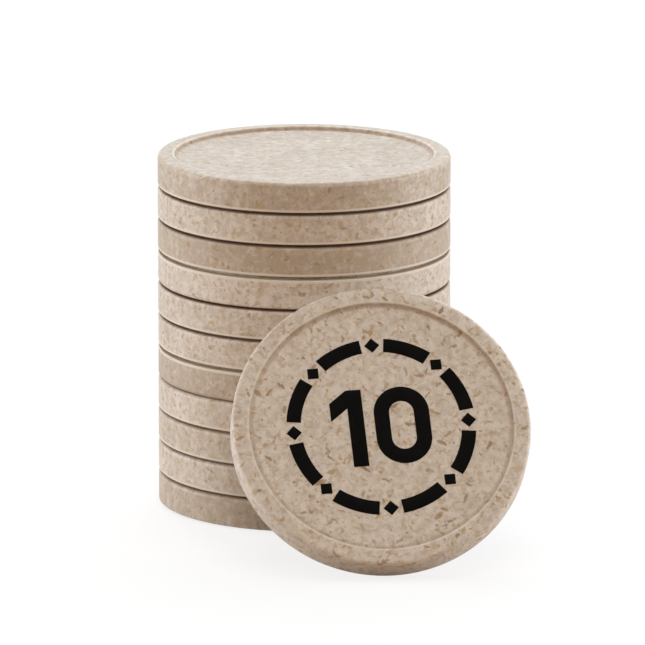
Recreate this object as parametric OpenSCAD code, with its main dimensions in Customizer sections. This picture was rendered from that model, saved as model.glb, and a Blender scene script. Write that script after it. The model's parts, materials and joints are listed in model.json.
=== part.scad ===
// A set of round moulded game tokens: a straight stack, and one more token that leans against it.
// Every token is the same moulding: a raised rim and a sunk field on both sides, and a foot ring on the back.
// All sizes are in millimetres.
// The stack's axis is the Z axis and the table is the plane z = 0. The leaning token stands on the -Y side,
// and +X is to the right of it.

/* [Token] */
// Diameter of a token
token_d = 29; // [24:0.5:40]
// Thickness of a token, over both rims
token_t = 3.2; // [2.2:0.1:5]
// Radius of the soft outer edge on the face side
face_round = 0.4; // [0.2:0.05:0.5]
// Radius of the crisper outer edge on the back
back_round = 0.12; // [0.06:0.02:0.2]

/* [Rim] */
// Width of the rim, from the outside to the lip of the sunk field
rim_w = 1.6; // [1.3:0.1:3]
// How far the rim of the face falls away towards the outside
rim_fall = 0.1; // [0.05:0.01:0.2]
// Width of the outer part of that rim that falls away. The rest of the rim is flat.
fall_w = 0.9; // [0.6:0.1:1.2]
// Depth of the sunk field below the rim, on either side
field_depth = 0.4; // [0.2:0.05:0.7]
// Run of the slope that leads from the lip down to the field
slope_w = 0.2; // [0.1:0.05:0.5]
// Rounding of the lip, where the rim turns down
lip_round = 0.12; // [0.05:0.01:0.2]
// Rounding of the cove, where the slope meets the field
cove_round = 0.2; // [0.05:0.01:0.3]

/* [Foot ring] */
// Height of the foot ring over the outer part of the back, which keeps a slit open in the joints
foot_h = 0.18; // [0.1:0.02:0.3]
// Width of the outer part of the back, from the outside to the flat of the foot ring
foot_inset = 1; // [0.6:0.1:1.1]

/* [Stack] */
// Number of tokens in the stack
stack_count = 11; // [9:1:15]
// Lower token that lies face down, counted from the table
lower_face_down = 5; // [1:1:11]
// Upper token that lies face down, counted from the table
upper_face_down = 8; // [1:1:11]

/* [Leaning token] */
// Angle from upright at which the token leans back
lean_angle = 36; // [20:1:50]
// How far the token stands to the right of the stack's middle
lean_aside = 5.5; // [0:0.5:10]
// Gap between the token's back edge and the side of the stack
lean_gap = 0.1; // [0.05:0.05:0.3]

/* [Hidden] */
$fn = 96;
token_r = token_d / 2;
land_r = token_r - fall_w;
foot_r = token_r - foot_inset;
edge_angle = 90 + atan2(rim_fall, fall_w);
lip_r = token_r - rim_w;
field_r = lip_r - slope_w;
slope_angle = atan2(field_depth, slope_w);
// A rounding on the slope takes at most this share of the slope's length
slope_share = 0.45;
round_limit = slope_share * norm([slope_w, field_depth]) / tan(slope_angle / 2);
lip_arc = min(lip_round, round_limit);
cove_arc = min(cove_round, round_limit);

// The rounding of a token's back edge runs round this circle
back_arc_r = token_r - back_round;
back_arc_h = foot_h + back_round;
// The centre of the leaning token's back is this high, so that its lowest point is on the table
lean_rise = back_arc_r * cos(lean_angle) - back_arc_h * sin(lean_angle) + back_round;
// It is this far in front of the stack's axis, so that each point of its back edge is clear of the stack
// and the nearest one is one gap away
clear_r = token_r + lean_gap + back_round;
// Step between the points of the edge that are tried, in degrees
edge_step = 0.5;
lean_reach = max([
    for (turn = [0 : edge_step : 180])
        if (abs(edge_aside(turn)) < clear_r)
            sqrt(pow(clear_r, 2) - pow(edge_aside(turn), 2)) - edge_depth(turn)
]);

// Shades of the fibre-filled plastic, and the stack's shades from the table up
pale_fibre = "#d8cfc3";
sand_fibre = "#cabdab";
brown_fibre = "#bda892";
stack_shades = [
    brown_fibre, pale_fibre, sand_fibre, pale_fibre, brown_fibre, sand_fibre,
    sand_fibre, pale_fibre, brown_fibre, sand_fibre, sand_fibre
];

// A point of the leaning token's back edge, at its turn from the right: how far it is to the right of the
// stack's axis, and how far in front of the centre of the token's back
function edge_aside(turn) = lean_aside + back_arc_r * cos(turn);
function edge_depth(turn) = back_arc_h * cos(lean_angle) - back_arc_r * sin(turn) * sin(lean_angle);

function stack_name(level) = str("stack_token_", level < 10 ? "0" : "", level);

// The sliver between a corner and the arc that rounds it. The corner is at the origin and opens by
// the given angle, counted from the +X direction.
module corner_sliver(radius, opening) {
    arm = radius / tan(opening / 2);
    difference() {
        polygon([[0, 0], [arm, 0], [arm, radius], arm * [cos(opening), sin(opening)]]);
        translate([arm, radius]) circle(radius);
    }
}

// Half section of the sunk field: a cut that opens upwards at the level of the rim
module field_section() {
    difference() {
        union() {
            polygon([
                [0, -field_depth], [field_r, -field_depth], [lip_r, 0],
                [lip_r, field_depth], [0, field_depth]
            ]);
            translate([lip_r, 0]) rotate(180 + slope_angle)
                corner_sliver(lip_arc, 180 - slope_angle);
        }
        translate([field_r, -field_depth]) rotate(slope_angle)
            corner_sliver(cove_arc, 180 - slope_angle);
    }
}

// Half section of a token that lies face up on the table
module token_section() {
    difference() {
        polygon([
            [0, 0], [foot_r, 0], [foot_r + foot_h, foot_h], [token_r, foot_h],
            [token_r, token_t - rim_fall], [land_r, token_t], [0, token_t]
        ]);
        translate([token_r, token_t - rim_fall]) rotate(270 - edge_angle)
            corner_sliver(face_round, edge_angle);
        translate([token_r, foot_h]) rotate(90) corner_sliver(back_round, 90);
        translate([0, token_t]) field_section();
        mirror([0, 1]) field_section();
    }
}

// One token, its back on the plane z = 0 and its face up
module token() {
    rotate_extrude() token_section();
}

// A token of the stack, at its level counted from the table
module stack_token(level) {
    face_down = level == lower_face_down || level == upper_face_down;
    color(stack_shades[(level - 1) % len(stack_shades)])
        translate([0, 0, (level - 1) * token_t])
        if (face_down) translate([0, 0, token_t]) rotate([180, 0, 0]) token();
        else token();
}

// The token that leans against the stack with its face outwards
module leaning_token() {
    color(sand_fibre)
        translate([lean_aside, -lean_reach, lean_rise]) rotate([90 - lean_angle, 0, 0]) token();
}

for (level = [1 : stack_count])
    stack_token(level);
leaning_token();
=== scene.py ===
"""A set of game tokens: a stack, and one printed token that leans against it. Lengths are in metres."""
import json
from math import atan2, cos, pi, radians, sin

import bpy
from bpy.props import FloatProperty, FloatVectorProperty, IntProperty, PointerProperty
from mathutils import Matrix, Vector


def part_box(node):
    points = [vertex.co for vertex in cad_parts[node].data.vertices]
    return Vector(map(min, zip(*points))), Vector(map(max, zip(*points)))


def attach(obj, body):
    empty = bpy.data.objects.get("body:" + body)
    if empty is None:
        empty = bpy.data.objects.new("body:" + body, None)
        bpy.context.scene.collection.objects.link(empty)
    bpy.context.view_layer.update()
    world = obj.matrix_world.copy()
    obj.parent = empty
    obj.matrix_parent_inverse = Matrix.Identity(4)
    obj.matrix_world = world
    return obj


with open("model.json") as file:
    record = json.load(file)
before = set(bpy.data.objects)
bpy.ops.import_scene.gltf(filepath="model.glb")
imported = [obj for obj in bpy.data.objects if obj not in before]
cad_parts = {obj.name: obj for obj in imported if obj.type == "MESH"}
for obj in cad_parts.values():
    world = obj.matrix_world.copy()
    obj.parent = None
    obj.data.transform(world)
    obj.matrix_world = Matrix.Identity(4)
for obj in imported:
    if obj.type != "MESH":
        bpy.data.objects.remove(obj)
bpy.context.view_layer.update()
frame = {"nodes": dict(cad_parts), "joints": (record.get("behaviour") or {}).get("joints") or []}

bl_info = {
    "name": "Game token set",
    "version": (1, 0, 0),
    "blender": (4, 5, 0),
    "location": "View3D > Sidebar > Tokens",
    "description": "Fibre-filled plastic tokens in a stack, with a printed one in front",
    "category": "Object",
}

MM = 0.001
UP = Vector((0, 0, 1))
STACK = sorted(name for name in frame["nodes"] if name.startswith("stack_token_"))
FACE_DOWN = ("stack_token_05", "stack_token_08")
LEANING = "leaning_token"
LEAN_AXIS = Vector(next(j["axis"] for j in frame["joints"] if j["child"] == LEANING))
LOW_CORNER, HIGH_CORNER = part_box(STACK[0])
TOKEN_R = (HIGH_CORNER.x - LOW_CORNER.x) / 2
TOKEN_T = HIGH_CORNER.z - LOW_CORNER.z

# Each stack token's shade of plastic, from the table up: how far it is from the brown to the pale end
STACK_PALENESS = (0.2, 0.6, 0.45, 0.65, 0.1, 0.65, 0.55, 0.75, 0.1, 0.65, 0.3)
LEANING_PALENESS = 0.75

# Painted shade in the joints of the stack: how far each stack token is darkened brown along the edges of its
# back and of its face, where the gaps between the tokens are in shadow, from the table up
STACK_JOINT_SHADES = (
    (0.0, 0.25), (0.4, 0.25), (0.4, 0.25), (0.4, 0.1), (0.0, 0.1), (0.0, 0.6),
    (0.8, 0.9), (0.0, 0.9), (0.0, 0.75), (0.8, 0.75), (0.8, 0.0),
)
NO_JOINT_SHADES = (0.0, 0.0)

# How strongly the flecks show, and how strongly the painted light shows as a pale strip along the back edge,
# where light from the floor catches the lower edge
STACK_FLECKS = 0.7
LEANING_FLECKS = 1.0
STACK_PAINTED_LIGHT = 0.8
NO_PAINTED_LIGHT = 0.0

# Sides of the low box that a fleck's direction is drawn from
FLECK_SPREAD = Vector((2, 2, 0.9))
# Keys that turn a cell's random colour into two more random numbers
TONE_KEY = (57.3, 31.1, 91.7)
PICK_KEY = (83.9, 67.7, 23.3)
# How much a fleck is shrunk at the surface, and how much more at full depth
SHRINK = 0.8
DEPTH_SHRINK = 1.4
# A fleck fades between its core and its outline, in squared shares of its size
FLECK_CORE = 0.2
FLECK_OUTLINE = 1.3
# How far the deepest flecks are veiled by the plastic
VEIL = 0.6

# Steps through the pattern, in millimetres: to the next token, to the next kind of fleck and to the patches
BATCH_SHIFT = (31.7, 17.3, 23.9)
KIND_SHIFT = (13.1, 7.7, 3.3)
PATCH_SHIFT = (5.3, 9.1, 2.7)
# How fast and how far the pattern sways, and how the streaks are drawn out through the thickness
SWAY_DENSITY = 1.6
SWAY = (0.5, 0.5, 0.5)
STREAK_STRETCH = (1.0, 1.0, 0.22)

# How pale the outer edges are rubbed, partly as a painted highlight, as a share of the lips, and the
# strength of the painted shade in the corners of the fields
EDGE_WEAR_AND_HIGHLIGHT = 0.12
CORNER_SHADE_STRENGTH = 0.35
# Where the pale strip of painted light begins to fade, as a share of its height
PAINTED_LIGHT_BAND_FADE = 0.8
# Where the painted shade on the back begins to fade and ends, in heights of the foot ring
BACK_SHADE_FADE = 1.1
BACK_SHADE_END = 1.3

# Roughness of the plastic: at its smoothest, how far the mottling roughens it, how far rubbing polishes the
# edges
SMOOTHEST = 0.42
MOTTLED_ROUGHNESS = 0.2
WEAR_POLISH = 0.06
# Heights of the grain and of the flecks, as shares of the relief's depth
GRAIN_RELIEF = 0.25
FLECK_RELIEF = 0.3

# Sheen of the surface, strength of its relief and depth of that relief
PLASTIC_FINISH = (0.35, 0.25, 0.02 * MM)
INK_FINISH = (0.03, 0.2, 0.01 * MM)
# How much paler the ink is where it is greyed
INK_GREYING = 1.8

# Steps of each block and gap of the printed ring, and corners of the printed nought
RING_STEPS = 12
ZERO_CORNERS = 64
# Height of the one's flag where it leaves the stem, in strokes, and its fall as a share of its reach
FLAG_FOOT = 1.25
FLAG_FALL = 0.75
# Edges of the ink that turn by less than this are shaded smooth
SMOOTH_ANGLE = radians(30)

WHITE = (1, 1, 1, 1)
# The floor's colour for the light that it throws and as it is seen, and the glow that whitens it
FLOOR_BOUNCE = (0.5, 0.37, 0.25, 1)
FLOOR_SEEN = (0.9, 0.9, 0.9, 1)
FLOOR_GLOW = 1.05
FLOOR_GLOW_SHARE = 0.75
# Strength of the surroundings, for the light that they throw and as they are seen
WORLD_LIGHT = 0.25
WORLD_SEEN = 1.0

# The lamps: name, azimuth from the camera's side, elevation, distance, width and height, watts, tint.
# Angles are in degrees.
LAMPS = (
    ("left_strip", -100, 4, 0.6, (0.4, 0.08), 2.2, (0.955, 1, 1.045)),
    ("right_strip", 100, 4, 0.6, (0.4, 0.08), 2.2, (0.955, 1, 1.045)),
    ("front_softbox", 0, 40, 0.8, (0.5, 0.5), 1.55, (1, 0.72, 0.52)),
    ("rear_softbox", 180, 48, 0.8, (0.5, 0.5), 3.55, (0.9, 1, 1.12)),
    ("top_softbox", 0, 86, 0.8, (0.5, 0.5), 1.7, (0.94, 1, 0.94)),
)
# Width of the camera's sensor in millimetres, and how far it sees
SENSOR_WIDTH = 36
CLIP_END = 20


def length(name, description, default):
    """A size that a user may change."""
    return FloatProperty(name=name, description=description, default=default, unit="LENGTH", precision=5)


def colour(name, description, default):
    """A surface colour that a user may change, in linear red, green and blue."""
    return FloatVectorProperty(name=name, description=description, default=default, subtype="COLOR")


class TokenMoulding(bpy.types.PropertyGroup):
    """Where the edges of the moulding are, and how far the pale rubbing with its painted highlight, the
    painted shade in the corners of the fields and in the joints, and the painted light along the back edge
    reach from them.
    """
    rim_width: length("Rim width", "From the outside of a token to the lip of its field", 1.6 * MM)
    slope_width: length("Slope width", "Run of the slope from the lip down to the field", 0.2 * MM)
    field_depth: length("Field depth", "Depth of the field below the rim", 0.4 * MM)
    # The pale rubbing along the outer edges and the lips is partly real and partly a painted highlight
    wear_and_highlight_width: length("Wear width", "How far the pale wear reaches from an outer edge", 0.4 * MM)
    lip_wear_and_highlight_width: length(
        "Lip wear width", "How far the pale wear reaches from the lip of a field", 0.2 * MM)
    # Painted shade: the brown in the corner of a field stands in for the shade at the foot of its wall
    corner_shade_width: length(
        "Corner shade width", "How far the brown grime reaches from the corner of a field", 0.45 * MM)
    # Painted light: a pale strip along the back edge stands in for the light that the floor throws onto the
    # lower edge
    painted_light_band_height: length(
        "Band height", "Height of the pale band that the mould leaves along the back edge", 0.5 * MM)
    foot_height: length("Foot height", "Height of the foot ring over the outer part of the back", 0.18 * MM)
    # Painted shade: the brown along the joints stands in for the shadow in the gaps between the tokens
    joint_shade_height: length(
        "Stain height", "How far the brown stain of a joint reaches down from the rim", 0.24 * MM)


class FibrePlastic(bpy.types.PropertyGroup):
    """Colours and sizes of the plastic and the plant fibres in it, and the colours of the painted highlight,
    painted light and painted shade.
    """
    pale_resin: colour("Pale plastic", "Palest shade of the plastic", (0.75, 0.68, 0.615))
    brown_resin: colour("Brown plastic", "Brownest shade of the plastic", (0.475, 0.39, 0.31))
    straw: colour("Straw", "Golden chips of straw", (0.5, 0.345, 0.175))
    bark: colour("Bark", "Brown chips and fibres", (0.25, 0.13, 0.062))
    husk: colour("Husk", "Dark specks of husk", (0.06, 0.035, 0.022))
    pith: colour("Pith", "Pale fibres", (0.80, 0.72, 0.60))
    # Pale colour of rubbed edges, also used for the painted highlight on the edges and lips and for the
    # painted light along the back edge
    worn_and_highlight: colour("Worn edge", "Plastic that is rubbed pale along an edge", (0.80, 0.73, 0.63))
    # Painted shade: the brown that darkens the joints of the stack, where the gaps between the tokens are in
    # shadow
    stain: colour("Stain", "Brown stain in the joints of the stack", (0.15, 0.068, 0.035))
    straw_length: length("Straw length", "Half length of a straw chip", 0.65 * MM)
    straw_width: length("Straw width", "Half width of a straw chip", 0.22 * MM)
    bark_length: length("Bark length", "Half length of a brown fibre", 0.65 * MM)
    bark_width: length("Bark width", "Half width of a brown fibre", 0.14 * MM)
    husk_length: length("Husk length", "Half length of a dark speck", 0.18 * MM)
    husk_width: length("Husk width", "Half width of a dark speck", 0.1 * MM)


class PrintDesign(bpy.types.PropertyGroup):
    """Sizes and colour of the print on the leaning token."""
    ink: colour("Ink", "Colour of the ink", (0.003, 0.003, 0.0026))
    ink_height: length("Ink height", "Thickness of the ink", 0.03 * MM)
    ring_radius: length("Ring radius", "Outer radius of the ring of blocks", 9.2 * MM)
    ring_width: length("Ring width", "Width of the ring of blocks", 1.4 * MM)
    blocks: IntProperty(name="Blocks", description="Number of blocks in the ring", default=8, min=3, max=24)
    gap_share: FloatProperty(
        name="Gap share", description="Share of the ring that the gaps between the blocks take",
        default=0.333, min=0, max=0.9, subtype="FACTOR")
    diamond_size: length("Diamond size", "Half height of a diamond between two blocks", 0.75 * MM)
    digit_height: length("Digit height", "Height of the number", 8 * MM)
    digit_stroke: length("Digit stroke", "Width of the number's strokes", 1.5 * MM)
    zero_width: length("Zero width", "Width of the nought", 5.4 * MM)
    flag_length: length("Flag length", "Reach of the slanted stroke of the one", 1.7 * MM)
    digit_gap: length("Digit gap", "Space between the two digits", 1.0 * MM)
    turn: FloatProperty(
        name="Turn", description="Turn of the print on the token", default=radians(3.5), subtype="ANGLE")


class StudioStage(bpy.types.PropertyGroup):
    """The camera's place and lens, and the size of the floor."""
    azimuth: FloatProperty(name="Azimuth", description="Turn of the camera round the stack",
                           default=radians(-4.7), subtype="ANGLE")
    pitch: FloatProperty(name="Pitch", description="How far the camera looks down",
                         default=radians(13.047), subtype="ANGLE")
    distance: length("Distance", "From the stack's axis to the camera, level", 0.800)
    height: length("Height", "Height of the camera above the table", 0.2033)
    aside: length("Aside", "Shift of the camera to its right", 1.82 * MM)
    lens: FloatProperty(name="Lens", description="Focal length", default=461.2, unit="CAMERA")
    floor_size: length("Floor size", "Side of the square floor", 6.0)


class Nodes:
    """A node tree that is written from the inputs to the output."""

    def __init__(self, tree):
        self.tree = tree

    def feed(self, socket, value):
        """Links an output to a socket, or sets the socket to a value. None leaves it as it is."""
        if isinstance(value, bpy.types.NodeSocket):
            self.tree.links.new(value, socket)
        elif value is not None:
            socket.default_value = value

    def add(self, kind, *values, **settings):
        """Adds a node, with its settings and with its inputs in their order."""
        node = self.tree.nodes.new(kind)
        for name, setting in settings.items():
            setattr(node, name, setting)
        for socket, value in zip(node.inputs, values):
            self.feed(socket, value)
        return node

    def maths(self, operation, *values):
        """The result of an operation on numbers."""
        return self.add("ShaderNodeMath", *values, operation=operation).outputs[0]

    def vector(self, operation, *values):
        """A vector operation's result, which is a number for a dot product or a length."""
        node = self.add("ShaderNodeVectorMath", *values, operation=operation)
        return node.outputs["Value" if operation in ("DOT_PRODUCT", "LENGTH") else "Vector"]

    def ramp(self, value, low, high, bottom=0.0, top=1.0):
        """Leads smoothly from the bottom at the low value to the top at the high one."""
        node = self.add("ShaderNodeMapRange", value, low, high, bottom, top, interpolation_type="SMOOTHSTEP")
        return node.outputs[0]

    def mix(self, share, first, second):
        """A colour that goes from the first to the second by the share."""
        node = self.add("ShaderNodeMix", share, data_type="RGBA")
        self.feed(node.inputs[6], first)
        self.feed(node.inputs[7], second)
        return node.outputs[2]

    def noise(self, place, grain, detail=2.0, roughness=0.5):
        """Noise about 0.5, with the given size of grain in the units of the place."""
        node = self.add(
            "ShaderNodeTexNoise", place, None, 1 / grain, detail, roughness, noise_dimensions="3D")
        return node.outputs[0]


def node_group(name, inputs, outputs):
    """A new node group. Inputs and outputs are pairs of a name and a kind of socket."""
    tree = bpy.data.node_groups.new(name, "ShaderNodeTree")
    for label, kind in inputs:
        tree.interface.new_socket(label, in_out="INPUT", socket_type=f"NodeSocket{kind}")
    for label, kind in outputs:
        tree.interface.new_socket(label, in_out="OUTPUT", socket_type=f"NodeSocket{kind}")
    return tree


def new_material(name):
    """A material whose tree is empty, and the tree for writing."""
    material = bpy.data.materials.new(name)
    material.use_nodes = True
    material.node_tree.nodes.clear()
    return material, Nodes(material.node_tree)


def finish_surface(n, tint, roughness, relief, sheen, strength, depth):
    """Ends a material with its shader, over a relief of the given strength and depth."""
    bump = n.add("ShaderNodeBump")
    n.feed(bump.inputs["Strength"], strength)
    n.feed(bump.inputs["Distance"], depth)
    n.feed(bump.inputs["Height"], relief)
    shader = n.add("ShaderNodeBsdfPrincipled")
    n.feed(shader.inputs["Base Color"], tint)
    n.feed(shader.inputs["Roughness"], roughness)
    n.feed(shader.inputs["Specular IOR Level"], sheen)
    n.feed(shader.inputs["Normal"], bump.outputs[0])
    n.add("ShaderNodeOutputMaterial", shader.outputs[0])


def fleck_scatter():
    """Node group: flecks of one kind. Each is an ellipsoid in the plastic, cut open by the surface.
    It points its own way, nearer to level than to upright, as the mould's flow lays it."""
    tree = node_group(
        "Fleck scatter",
        [("Place", "Vector"), ("Spacing", "Float"), ("Length", "Float"), ("Width", "Float"),
         ("Share", "Float"), ("Fray", "Float")],
        [("Cover", "Float"), ("Tone", "Float"), ("Depth", "Float")],
    )
    n = Nodes(tree)
    place, spacing, half_length, half_width, share, fray = n.add("NodeGroupInput").outputs[:6]
    density = n.maths("DIVIDE", 1.0, spacing)
    cells = n.add("ShaderNodeTexVoronoi", place, None, density)
    chance = cells.outputs["Color"]
    offset = n.vector("SUBTRACT", place, cells.outputs["Position"])
    spread = n.vector("MULTIPLY_ADD", chance, FLECK_SPREAD, -FLECK_SPREAD / 2)
    along = n.vector("DOT_PRODUCT", offset, n.vector("NORMALIZE", spread))
    along_square = n.maths("MULTIPLY", along, along)
    across_square = n.maths("SUBTRACT", n.vector("DOT_PRODUCT", offset, offset), along_square)
    long_part = n.maths("DIVIDE", along_square, n.maths("MULTIPLY", half_length, half_length))
    wide_part = n.maths("DIVIDE", across_square, n.maths("MULTIPLY", half_width, half_width))
    tone = n.maths("FRACT", n.vector("DOT_PRODUCT", chance, TONE_KEY))
    pick = n.maths("FRACT", n.vector("DOT_PRODUCT", chance, PICK_KEY))
    depth = n.maths("DIVIDE", pick, share)
    smaller = n.maths("MULTIPLY_ADD", depth, DEPTH_SHRINK, SHRINK)
    reach = n.maths("MULTIPLY_ADD", n.maths("ADD", long_part, wide_part), smaller, fray)
    inside = n.ramp(reach, FLECK_OUTLINE, FLECK_CORE)
    cover = n.maths("MULTIPLY", inside, n.maths("LESS_THAN", depth, 1.0))
    n.add("NodeGroupOutput", cover, tone, depth)
    return tree


def near_ring(n, radius, drop, ring_radius, ring_drop, width):
    """1 on a ring round the token's axis, on both of its sides, falling to 0 at the width."""
    aside = n.maths("SUBTRACT", radius, ring_radius / MM)
    below = n.maths("SUBTRACT", drop, ring_drop / MM)
    gap = n.vector("LENGTH", n.add("ShaderNodeCombineXYZ", aside, below, 0.0).outputs[0])
    return n.ramp(gap, width / MM, width / MM / 4)


def edge_masks(n, place, moulding):
    """Five shares: how far the edges are rubbed pale, partly as a painted highlight, the corners of the
    fields darkened with painted shade and the side lit with painted light at its back end, and how far the
    outer parts of the back and of the face are darkened with painted shade in the joints."""
    radius = n.vector("LENGTH", n.vector("MULTIPLY", place, (1, 1, 0)))
    level = n.add("ShaderNodeSeparateXYZ", place).outputs[2]
    middle = TOKEN_T / 2 / MM
    drop = n.maths("SUBTRACT", middle, n.maths("ABSOLUTE", n.maths("SUBTRACT", level, middle)))
    rim_width, foot, stain = moulding.rim_width, moulding.foot_height, moulding.joint_shade_height
    lip_radius = TOKEN_R - rim_width
    # Pale rubbing along the outer edge and the lip, partly a painted highlight
    edge = near_ring(n, radius, drop, TOKEN_R, 0.0, moulding.wear_and_highlight_width)
    lip = near_ring(n, radius, drop, lip_radius, 0.0, moulding.lip_wear_and_highlight_width)
    corner_radius = lip_radius - moulding.slope_width
    # Painted shade in the corner of the field
    corner_shade = near_ring(n, radius, drop, corner_radius, moulding.field_depth, moulding.corner_shade_width)
    # Painted light: the pale strip along the side at its back end
    painted_light_band = n.ramp(level, moulding.painted_light_band_height / MM, PAINTED_LIGHT_BAND_FADE * moulding.painted_light_band_height / MM)
    wear_and_highlight = n.maths("MAXIMUM", n.maths("MULTIPLY", edge, EDGE_WEAR_AND_HIGHLIGHT), lip)
    rim = n.ramp(radius, (TOKEN_R - rim_width / 2) / MM, (TOKEN_R - rim_width / 3) / MM)
    # Painted shade along the outer parts of the back and of the face, where the joints are in shadow
    low = n.ramp(level, BACK_SHADE_END * foot / MM, BACK_SHADE_FADE * foot / MM)
    high = n.ramp(level, (TOKEN_T - stain) / MM, (TOKEN_T - stain / 3) / MM)
    return wear_and_highlight, corner_shade, *(n.maths("MULTIPLY", share, rim) for share in (painted_light_band, low, high))


def fibre_plastic(finish, moulding):
    """Node group: plastic filled with plant fibre. Its place is in millimetres, from the middle of the
    token's back."""
    tree = node_group(
        "Fibre plastic",
        [("Place", "Vector"), ("Batch", "Float"), ("Paleness", "Float"), ("Flecks", "Float"),
         ("Band", "Float"), ("Back stain", "Float"), ("Face stain", "Float")],
        [("Colour", "Color"), ("Roughness", "Float"), ("Relief", "Float")],
    )
    n = Nodes(tree)
    spot, batch, paleness, clearness, painted_light_band_strength, back_shade, face_shade = (
        n.add("NodeGroupInput").outputs[:7])
    scatter = fleck_scatter()
    shift = n.add("ShaderNodeVectorMath", BATCH_SHIFT, operation="SCALE")
    n.feed(shift.inputs["Scale"], batch)
    place = n.vector("ADD", spot, shift.outputs[0])
    sway = n.add("ShaderNodeTexNoise", place, None, SWAY_DENSITY, 1.0).outputs["Color"]
    bent = n.vector("MULTIPLY_ADD", sway, SWAY, place)

    # The plastic between the flecks: broad clouds, fine mottling, streaks that run through the thickness
    # and a fine grain, each with its own share in the shade
    clouds = n.noise(place, grain=5.0, detail=1.0)
    mottling = n.noise(bent, grain=0.8, detail=3.0, roughness=0.6)
    streaks = n.noise(n.vector("MULTIPLY", place, STREAK_STRETCH), grain=0.7)
    grain = n.noise(place, grain=0.16, roughness=0.6)
    shade = paleness
    for layer, share in ((clouds, 0.45), (mottling, 1.8), (streaks, 0.6), (grain, 0.8)):
        shade = n.maths("MULTIPLY_ADD", n.maths("SUBTRACT", layer, 0.5), share, shade)
    within = n.maths("MINIMUM", n.maths("MAXIMUM", shade, 0.0), 1.0)
    surface = n.mix(within, (*finish.brown_resin, 1), (*finish.pale_resin, 1))

    # Patches that are tinged by the straw
    patches = n.noise(n.vector("ADD", bent, PATCH_SHIFT), grain=0.55)
    surface = n.mix(n.ramp(patches, low=0.5, high=0.68, top=0.55), surface, (*finish.straw, 1))

    # Flecks of each kind, laid over the plastic. Those that lie deeper are veiled by it.
    # A kind has a light and a dark colour, a half length and width, the spacing of its places in
    # millimetres, the share of them that is taken, and a strength.
    kinds = (
        (finish.pith, finish.worn_and_highlight, finish.bark_length, finish.bark_width, 1.0, 0.7, 0.6),
        (finish.straw, finish.bark, finish.straw_length, finish.straw_width, 1.0, 0.9, 0.85),
        (finish.straw, finish.bark, finish.bark_length, finish.bark_width, 0.9, 0.9, 0.8),
        (finish.bark, finish.husk, finish.husk_length, finish.husk_width, 1.4, 0.4, 0.95),
    )
    fray = n.maths("MULTIPLY_ADD", n.noise(place, grain=0.3), 2.0, -1.0)
    relief = n.maths("MULTIPLY", grain, GRAIN_RELIEF)
    for number, (light, dark, half_length, half_width, spacing, share, strength) in enumerate(kinds, 1):
        own_place = n.vector("ADD", bent, tuple(step * number for step in KIND_SHIFT))
        flecks = n.add("ShaderNodeGroup", own_place, spacing, half_length / MM, half_width / MM, share, fray,
                       node_tree=scatter)
        cover, tone, depth = flecks.outputs[:3]
        shown = n.maths("MULTIPLY", cover, n.maths("MULTIPLY_ADD", depth, -VEIL * strength, strength))
        shown = n.maths("MULTIPLY", shown, clearness)
        surface = n.mix(shown, surface, n.mix(tone, (*light, 1), (*dark, 1)))
        relief = n.maths("MULTIPLY_ADD", cover, FLECK_RELIEF, relief)

    # The edges: painted shade in the corners of the fields, patchy pale rubbing that is partly a painted
    # highlight, painted light along the back edge and painted shade in the joints
    wear_and_highlight, corner_shade, painted_light_band, back, face = edge_masks(n, spot, moulding)
    surface = n.mix(n.maths("MULTIPLY", corner_shade, CORNER_SHADE_STRENGTH), surface, (*finish.bark, 1))
    patchy = n.maths("MULTIPLY", wear_and_highlight, n.ramp(mottling, low=0.3, high=0.65, bottom=0.4, top=0.8))
    surface = n.mix(patchy, surface, (*finish.worn_and_highlight, 1))
    surface = n.mix(n.maths("MULTIPLY", painted_light_band, painted_light_band_strength), surface, (*finish.worn_and_highlight, 1))
    stain = n.maths("MAXIMUM", n.maths("MULTIPLY", back, back_shade), n.maths("MULTIPLY", face, face_shade))
    surface = n.mix(stain, surface, (*finish.stain, 1))
    roughness = n.maths("MULTIPLY_ADD", mottling, MOTTLED_ROUGHNESS, SMOOTHEST)
    roughness = n.maths("MULTIPLY_ADD", wear_and_highlight, -WEAR_POLISH, roughness)
    n.add("NodeGroupOutput", surface, roughness, relief)
    return tree


def fibre_material(name, plastic, place, batch, *shares):
    """The finish of one token. The pattern is placed in the token's own frame. The shares are the
    remaining inputs of the plastic's node group."""
    material, n = new_material(name)
    where = n.add("ShaderNodeTexCoord").outputs["Object"]
    own = n.add("ShaderNodeMapping", where, place.to_translation(), place.to_euler(), (MM, MM, MM),
                vector_type="TEXTURE").outputs[0]
    fibre = n.add("ShaderNodeGroup", own, batch, *shares, node_tree=plastic).outputs
    finish_surface(n, fibre["Colour"], fibre["Roughness"], fibre["Relief"], *PLASTIC_FINISH)
    return material


def token_place(node, face_axis):
    """A token's own frame: the middle of its back, with +Z out of its face."""
    points = [vertex.co for vertex in frame["nodes"][node].data.vertices]
    out = face_axis.normalized()
    across = Vector((1, 0, 0))
    upward = out.cross(across)
    middle = out * min(point.dot(out) for point in points)
    for axis in (across, upward):
        reach = [point.dot(axis) for point in points]
        middle += axis * (min(reach) + max(reach)) / 2
    turn = Matrix((across, upward, out)).transposed()
    return Matrix.Translation(middle) @ turn.to_4x4()


def shared_plastic(scene):
    """The node group of the plastic, which is made once."""
    made = bpy.data.node_groups.get("Fibre plastic")
    return made or fibre_plastic(scene.fibre_plastic, scene.token_moulding)


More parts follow.
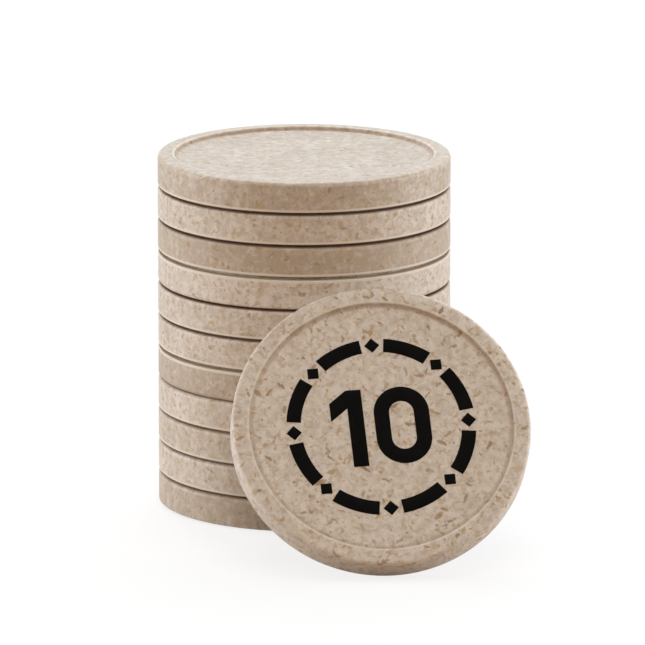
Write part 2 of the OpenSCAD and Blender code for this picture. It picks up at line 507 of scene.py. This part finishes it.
class DressStack(bpy.types.Operator):
    """Give each token of the stack its own piece of fibre-filled plastic"""
    bl_idname = "tokens.dress_stack"
    bl_label = "Dress the stack"

    def execute(self, context):
        plastic = shared_plastic(context.scene)
        for batch, (node, paleness, joint_shades) in enumerate(zip(STACK, STACK_PALENESS, STACK_JOINT_SHADES), 1):
            place = token_place(node, -UP if node in FACE_DOWN else UP)
            # Every token but the lowest gets the painted light along its back edge
            painted_light_band = NO_PAINTED_LIGHT if node == STACK[0] else STACK_PAINTED_LIGHT
            material = fibre_material(
                f"fibre_{node}", plastic, place, batch, paleness, STACK_FLECKS, painted_light_band, *joint_shades)
            frame["nodes"][node].material_slots[0].material = material
        return {"FINISHED"}


class DressLeaningToken(bpy.types.Operator):
    """Give the leaning token its piece of fibre-filled plastic"""
    bl_idname = "tokens.dress_leaning"
    bl_label = "Dress the leaning token"

    def execute(self, context):
        plastic = shared_plastic(context.scene)
        place = token_place(LEANING, LEAN_AXIS)
        batch = len(STACK) + 1
        material = fibre_material(
            f"fibre_{LEANING}", plastic, place, batch, LEANING_PALENESS, LEANING_FLECKS, NO_PAINTED_LIGHT, *NO_JOINT_SHADES)
        frame["nodes"][LEANING].material_slots[0].material = material
        return {"FINISHED"}


def ink_material(design):
    """Matte black ink that is a little uneven, with the grain of the plastic under it. It is made once."""
    made = bpy.data.materials.get("ink")
    if made:
        return made
    material, n = new_material("ink")
    where = n.add("ShaderNodeTexCoord").outputs["Object"]
    patches = n.noise(where, grain=1.2 * MM)
    grain = n.noise(where, grain=0.15 * MM)
    greyed = (*(INK_GREYING * part for part in design.ink), 1)
    tint = n.mix(n.ramp(patches, low=0.35, high=0.75), (*design.ink, 1), greyed)
    roughness = n.maths("MULTIPLY_ADD", patches, 0.2, 0.55)
    finish_surface(n, tint, roughness, grain, *INK_FINISH)
    return material


def start_mesh(add, **sizes):
    """Adds a primitive alone in the selection and opens it for editing."""
    bpy.ops.object.select_all(action="DESELECT")
    add(**sizes)
    bpy.ops.object.transform_apply(location=True, rotation=True, scale=True)
    bpy.ops.object.mode_set(mode="EDIT")
    return bpy.context.object


def select(piece, kind, wanted):
    """In edit mode, selects the vertices, edges or faces that are wanted, and nothing else."""
    bpy.ops.mesh.select_mode(type={"vertices": "VERT", "edges": "EDGE", "polygons": "FACE"}[kind])
    bpy.ops.mesh.select_all(action="DESELECT")
    bpy.ops.object.mode_set(mode="OBJECT")
    for item in getattr(piece.data, kind):
        item.select = wanted(item)
    bpy.ops.object.mode_set(mode="EDIT")


def move(*by):
    """Moves what is selected in edit mode."""
    bpy.ops.transform.translate(value=by)


def finish_print(piece, name, design):
    """Gives a flat outline its thickness of ink and sets it on the field of the leaning token."""
    bpy.ops.mesh.select_all(action="SELECT")
    bpy.ops.mesh.normals_make_consistent(inside=False)
    bpy.ops.object.mode_set(mode="OBJECT")
    piece.name = piece.data.name = name
    height = TOKEN_T - bpy.context.scene.token_moulding.field_depth
    thick = piece.modifiers.new("Ink thickness", "SOLIDIFY")
    thick.thickness = design.ink_height
    thick.offset = 1
    soft = piece.modifiers.new("Soft edge", "BEVEL")
    soft.width = design.ink_height / 3
    soft.segments = 2
    for modifier in (thick, soft):
        bpy.ops.object.modifier_apply(modifier=modifier.name)
    turned = Matrix.Rotation(design.turn, 4, "Z")
    piece.matrix_world = token_place(LEANING, LEAN_AXIS) @ Matrix.Translation(UP * height) @ turned
    bpy.ops.object.transform_apply(location=True, rotation=True, scale=True)
    bpy.ops.object.shade_smooth_by_angle(angle=SMOOTH_ANGLE)
    piece.data.materials.clear()
    piece.data.materials.append(ink_material(design))
    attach(piece, LEANING)


class PrintRing(bpy.types.Operator):
    """Print the ring of blocks on the leaning token"""
    bl_idname = "tokens.print_ring"
    bl_label = "Print the ring"

    def execute(self, context):
        design = context.scene.print_design
        turn = 2 * pi / design.blocks
        ring = start_mesh(bpy.ops.mesh.primitive_circle_add, vertices=RING_STEPS * design.blocks,
                          radius=design.ring_radius, fill_type="NGON")
        bpy.ops.mesh.select_all(action="SELECT")
        bpy.ops.mesh.inset(thickness=design.ring_width)
        select(ring, "polygons", lambda face: face.center.length < design.ring_radius / 2)
        bpy.ops.mesh.delete(type="FACE")

        def in_gap(face):
            share = atan2(face.center.y, face.center.x) / turn
            return abs(share - round(share)) < design.gap_share / 2

        select(ring, "polygons", in_gap)
        bpy.ops.mesh.delete(type="FACE")
        finish_print(ring, "print_ring", design)
        return {"FINISHED"}


class PrintDiamonds(bpy.types.Operator):
    """Print the diamonds between the blocks of the ring"""
    bl_idname = "tokens.print_diamonds"
    bl_label = "Print the diamonds"

    def execute(self, context):
        design = context.scene.print_design
        diamonds = start_mesh(bpy.ops.mesh.primitive_circle_add, vertices=4,
                              radius=design.diamond_size, fill_type="NGON")
        bpy.ops.mesh.select_all(action="SELECT")
        move(design.ring_radius - design.ring_width / 2, 0, 0)
        bpy.ops.mesh.spin(steps=design.blocks, dupli=True, angle=2 * pi, center=(0, 0, 0), axis=UP)
        bpy.ops.mesh.select_all(action="SELECT")
        bpy.ops.mesh.remove_doubles(threshold=0.01 * MM)
        finish_print(diamonds, "print_diamonds", design)
        return {"FINISHED"}


class PrintNumber(bpy.types.Operator):
    """Print the number ten on the leaning token"""
    bl_idname = "tokens.print_number"
    bl_label = "Print the number"

    def execute(self, context):
        design = context.scene.print_design
        half = design.digit_height / 2
        stroke = design.digit_stroke
        width = design.zero_width + design.digit_gap + stroke + design.flag_length
        self.print_one(design, half, stroke, -width / 2 + design.flag_length)
        self.print_zero(design, half, stroke, width / 2 - design.zero_width / 2)
        return {"FINISHED"}

    def print_one(self, design, half, stroke, left):
        """A stem, with a slanted flag drawn out of the top of its left side."""
        one = start_mesh(bpy.ops.mesh.primitive_plane_add, size=1)
        bpy.ops.mesh.select_all(action="SELECT")
        bpy.ops.transform.resize(value=(stroke, 2 * half, 1))
        middle = left + stroke / 2
        move(middle, 0, 0)
        flag_foot = half - FLAG_FOOT * stroke
        bpy.ops.mesh.bisect(plane_co=(0, flag_foot, 0), plane_no=(0, 1, 0))

        def by_flag(edge):
            ends = [one.data.vertices[number].co for number in edge.vertices]
            return all(end.x < middle and end.y > flag_foot - stroke / 8 for end in ends)

        select(one, "edges", by_flag)
        bpy.ops.mesh.extrude_edges_move(
            TRANSFORM_OT_translate={"value": (-design.flag_length, -FLAG_FALL * design.flag_length, 0)})
        finish_print(one, "print_one", design)

    def print_zero(self, design, half, stroke, middle):
        """A round outline that is pulled apart to its height and hollowed to the stroke."""
        radius = design.zero_width / 2
        zero = start_mesh(bpy.ops.mesh.primitive_circle_add, vertices=ZERO_CORNERS, radius=radius,
                          fill_type="NGON", rotation=(0, 0, pi / ZERO_CORNERS))
        for side in (1, -1):
            select(zero, "vertices", lambda vertex: vertex.co.y * side > 0)
            move(0, side * (half - radius), 0)
        bpy.ops.mesh.select_all(action="SELECT")
        move(middle, 0, 0)
        bpy.ops.mesh.select_mode(type="FACE")
        bpy.ops.mesh.inset(thickness=stroke)
        select(zero, "polygons", lambda face: len(face.vertices) > 4)
        bpy.ops.mesh.delete(type="FACE")
        finish_print(zero, "print_zero", design)


def seen_rays(n):
    """1 for rays that show a thing: from the camera, in a reflection or through glass."""
    path = n.add("ShaderNodeLightPath").outputs
    mirrored = n.maths("MAXIMUM", path["Is Glossy Ray"], path["Is Transmission Ray"])
    return n.maths("MAXIMUM", path["Is Camera Ray"], mirrored)


def floor_material():
    """Floor that looks white away from the shadow and throws a little warm light back up."""
    material, n = new_material("floor")
    seen = seen_rays(n)
    paper = n.add("ShaderNodeBsdfDiffuse", n.mix(seen, FLOOR_BOUNCE, FLOOR_SEEN)).outputs[0]
    white = n.add("ShaderNodeEmission", WHITE, FLOOR_GLOW).outputs[0]
    glow = n.maths("MULTIPLY", seen, FLOOR_GLOW_SHARE)
    n.add("ShaderNodeOutputMaterial", n.add("ShaderNodeMixShader", glow, paper, white).outputs[0])
    return material


def softbox(name, azimuth, elevation, distance, size, watts, tint):
    """An area light, as wide and as high as its size says, that faces the tokens. Its angles are in degrees,
    the azimuth from the camera's side."""
    turn = radians(azimuth) + bpy.context.scene.studio_stage.azimuth
    rise = radians(elevation)
    aim = Vector((0, 0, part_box(STACK[-1])[1].z / 2))
    back = Vector((sin(turn) * cos(rise), -cos(turn) * cos(rise), sin(rise)))
    bpy.ops.object.light_add(type="AREA", location=aim + back * distance,
                             rotation=back.to_track_quat("Z", "Y").to_euler())
    lamp = bpy.context.object
    lamp.name = name
    lamp.data.shape = "RECTANGLE"
    lamp.data.size, lamp.data.size_y = size
    lamp.data.energy = watts
    lamp.data.color = tint


class SetStage(bpy.types.Operator):
    """Set up the floor, the soft light and the camera"""
    bl_idname = "tokens.set_stage"
    bl_label = "Set the stage"

    def execute(self, context):
        stage = context.scene.studio_stage
        bpy.ops.object.select_all(action="DESELECT")
        bpy.ops.mesh.primitive_plane_add(size=stage.floor_size)
        floor = context.object
        floor.name = "floor"
        floor.data.materials.append(floor_material())

        world = bpy.data.worlds.new("studio")
        context.scene.world = world
        world.use_nodes = True
        n = Nodes(world.node_tree)
        n.tree.nodes.clear()
        strength = n.ramp(seen_rays(n), 0.0, 1.0, WORLD_LIGHT, WORLD_SEEN)
        n.add("ShaderNodeOutputWorld", n.add("ShaderNodeBackground", WHITE, strength).outputs[0])

        for lamp in LAMPS:
            softbox(*lamp)

        turn = Matrix.Rotation(stage.azimuth, 4, "Z")
        place = turn @ Vector((stage.aside, -stage.distance, stage.height))
        bpy.ops.object.camera_add(location=place, rotation=(pi / 2 - stage.pitch, 0, stage.azimuth))
        camera = context.object
        camera.data.lens = stage.lens
        camera.data.sensor_width = SENSOR_WIDTH
        camera.data.clip_end = CLIP_END
        context.scene.camera = camera
        context.scene.view_settings.view_transform = "Standard"
        return {"FINISHED"}


class TokenPanel(bpy.types.Panel):
    """The set's sizes, colours and steps"""
    bl_idname = "VIEW3D_PT_tokens"
    bl_label = "Game tokens"
    bl_space_type = "VIEW_3D"
    bl_region_type = "UI"
    bl_category = "Tokens"

    def draw(self, context):
        for group in SETTINGS:
            settings = getattr(context.scene, group)
            box = self.layout.box()
            for name in settings.bl_rna.properties.keys():
                if name not in ("rna_type", "name"):
                    box.prop(settings, name)
        for step in STEPS:
            self.layout.operator(step.bl_idname)


SETTINGS = {
    "token_moulding": TokenMoulding,
    "fibre_plastic": FibrePlastic,
    "print_design": PrintDesign,
    "studio_stage": StudioStage,
}
STEPS = (DressStack, DressLeaningToken, PrintRing, PrintDiamonds, PrintNumber, SetStage)


def register():
    """Makes the settings, the steps and the panel known."""
    for kind in (*SETTINGS.values(), *STEPS, TokenPanel):
        bpy.utils.register_class(kind)
    for name, kind in SETTINGS.items():
        setattr(bpy.types.Scene, name, PointerProperty(type=kind))


def unregister():
    """Takes them out again."""
    for name in SETTINGS:
        delattr(bpy.types.Scene, name)
    for kind in (TokenPanel, *STEPS, *SETTINGS.values()):
        bpy.utils.unregister_class(kind)


def main():
    """Dresses the tokens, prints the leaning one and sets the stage."""
    register()
    bpy.ops.tokens.dress_stack()
    bpy.ops.tokens.dress_leaning()
    bpy.ops.tokens.print_ring()
    bpy.ops.tokens.print_diamonds()
    bpy.ops.tokens.print_number()
    bpy.ops.tokens.set_stage()


if __name__ == "__main__":
    main()
